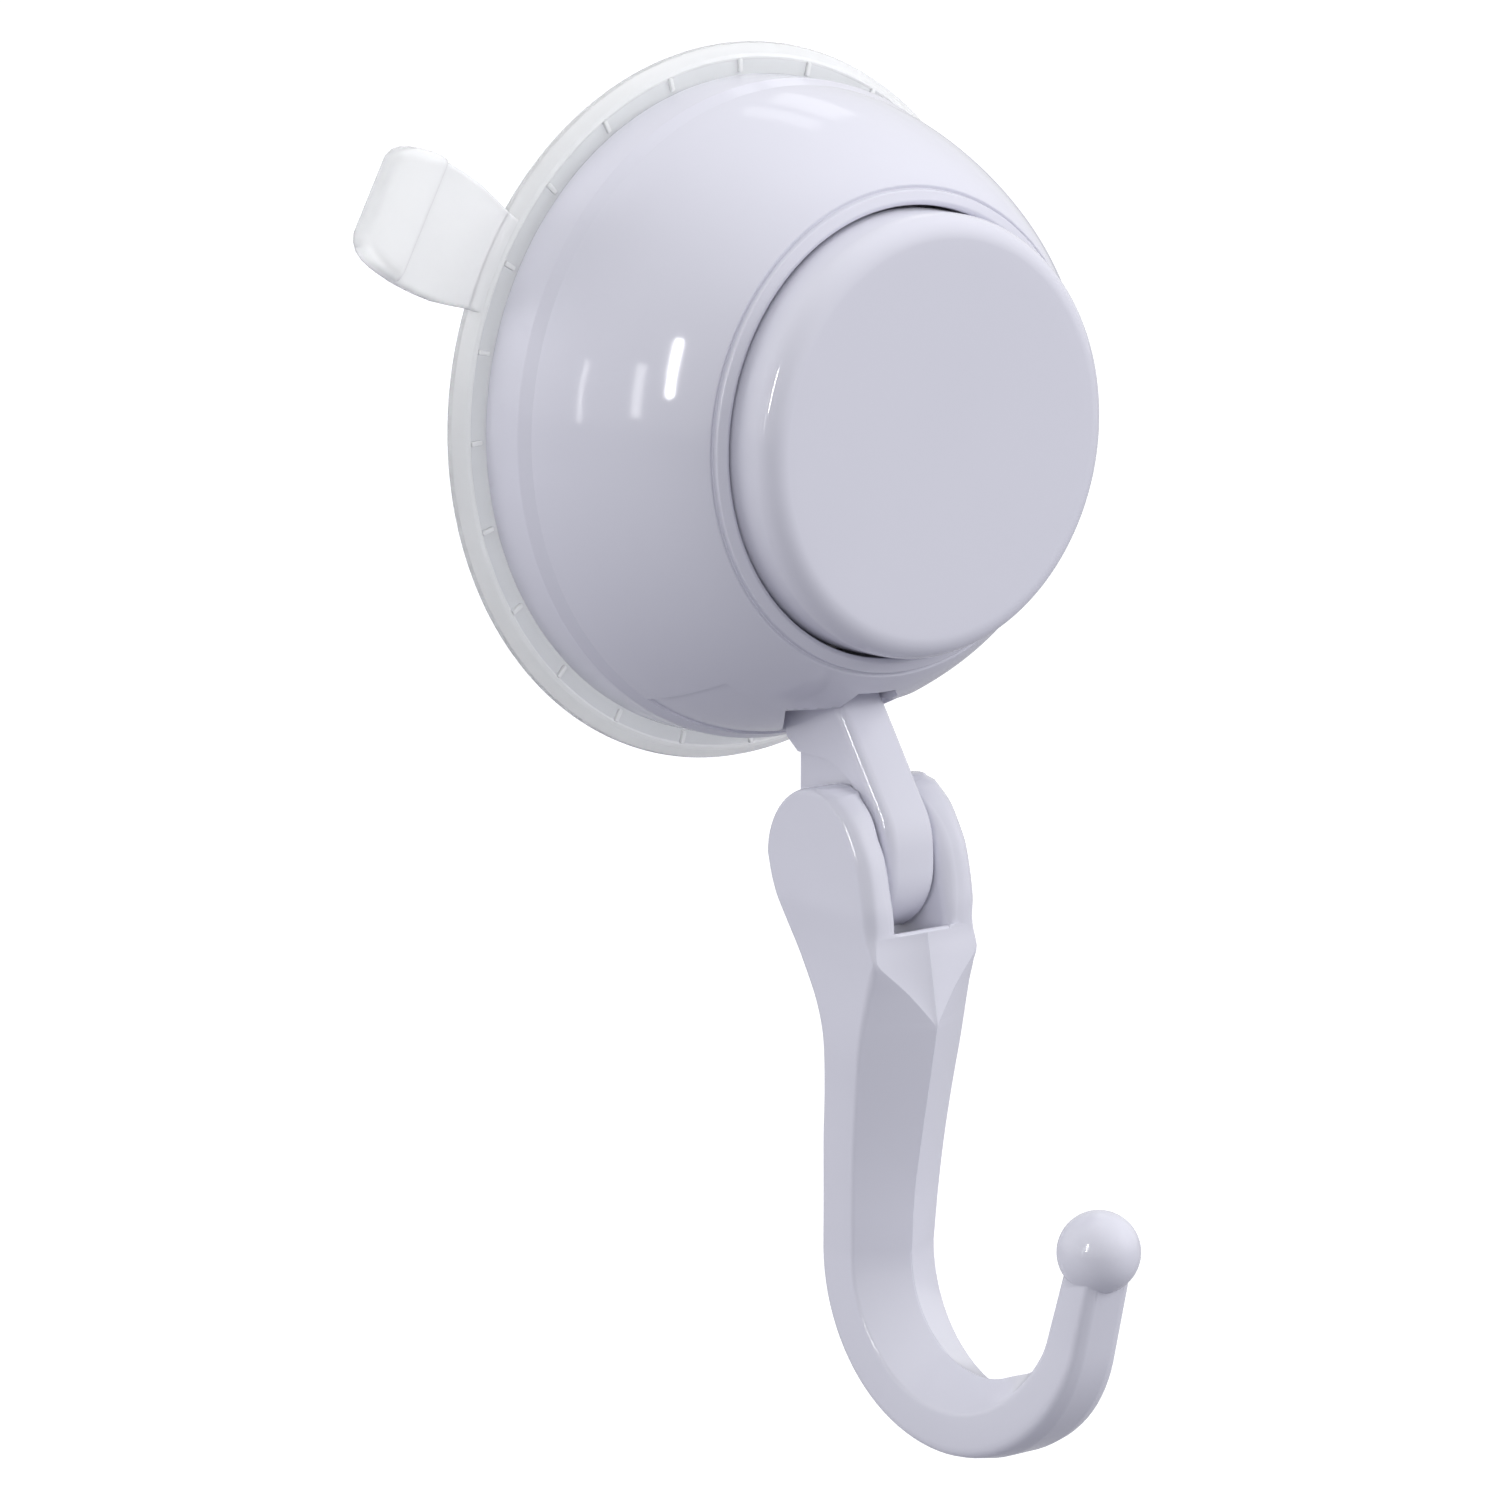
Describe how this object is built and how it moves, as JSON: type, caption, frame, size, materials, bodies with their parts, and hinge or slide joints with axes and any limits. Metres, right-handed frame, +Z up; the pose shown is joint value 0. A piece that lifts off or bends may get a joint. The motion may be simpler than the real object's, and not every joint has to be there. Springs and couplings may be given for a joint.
{
  "type": "suction cup hook",
  "caption": "Wall hook with a soft clear suction cup, a domed cover with a push button, and a hinged faceted J hook with a ball tip.",
  "frame": {"origin": "middle of the suction cup, on the wall plane that its lip rests on", "axes": "+Z up along the hanging hook, +Y into the wall, so the hook stands off the wall towards -Y, +X to the right seen from the front"},
  "size_m": [0.0697, 0.05, 0.1136],
  "materials": {
    "housing_plastic": "glossy white moulded plastic",
    "button_plastic": "glossy white moulded plastic",
    "frame_plastic": "glossy white moulded plastic",
    "hook_plastic": "glossy white moulded plastic",
    "cup_pvc": "clear soft PVC, smooth",
    "stud_steel": "plain machined steel",
    "spring_steel": "drawn spring wire",
    "screw_steel": "plain steel screws"
  },
  "bodies": {
    "base": {"suction_cup": "cup_pvc", "base_frame": "frame_plastic", "housing": "housing_plastic", "cover_screw_1": "screw_steel", "cover_screw_2": "screw_steel", "cover_screw_3": "screw_steel", "return_spring": "spring_steel"},
    "plunger": {"pull_stud": "stud_steel", "spring_retainer": "stud_steel", "stud_nut": "stud_steel", "push_button": "button_plastic"},
    "hook": {"hook": "hook_plastic"}
  },
  "joints": [
    {"name": "button_press", "type": "slide", "parent": "base", "child": "plunger", "axis": [0, 1, 0], "range_m": [0, 0.0035], "stiffness_N_per_m": 1500, "springref_m": -0.003, "deforming": ["return_spring", "suction_cup"]},
    {"name": "hook_swing", "type": "hinge", "parent": "base", "child": "hook", "pos_m": [0, -0.0179, -0.0361], "axis": [-1, 0, 0], "range_deg": [-25, 90]}
  ]
}
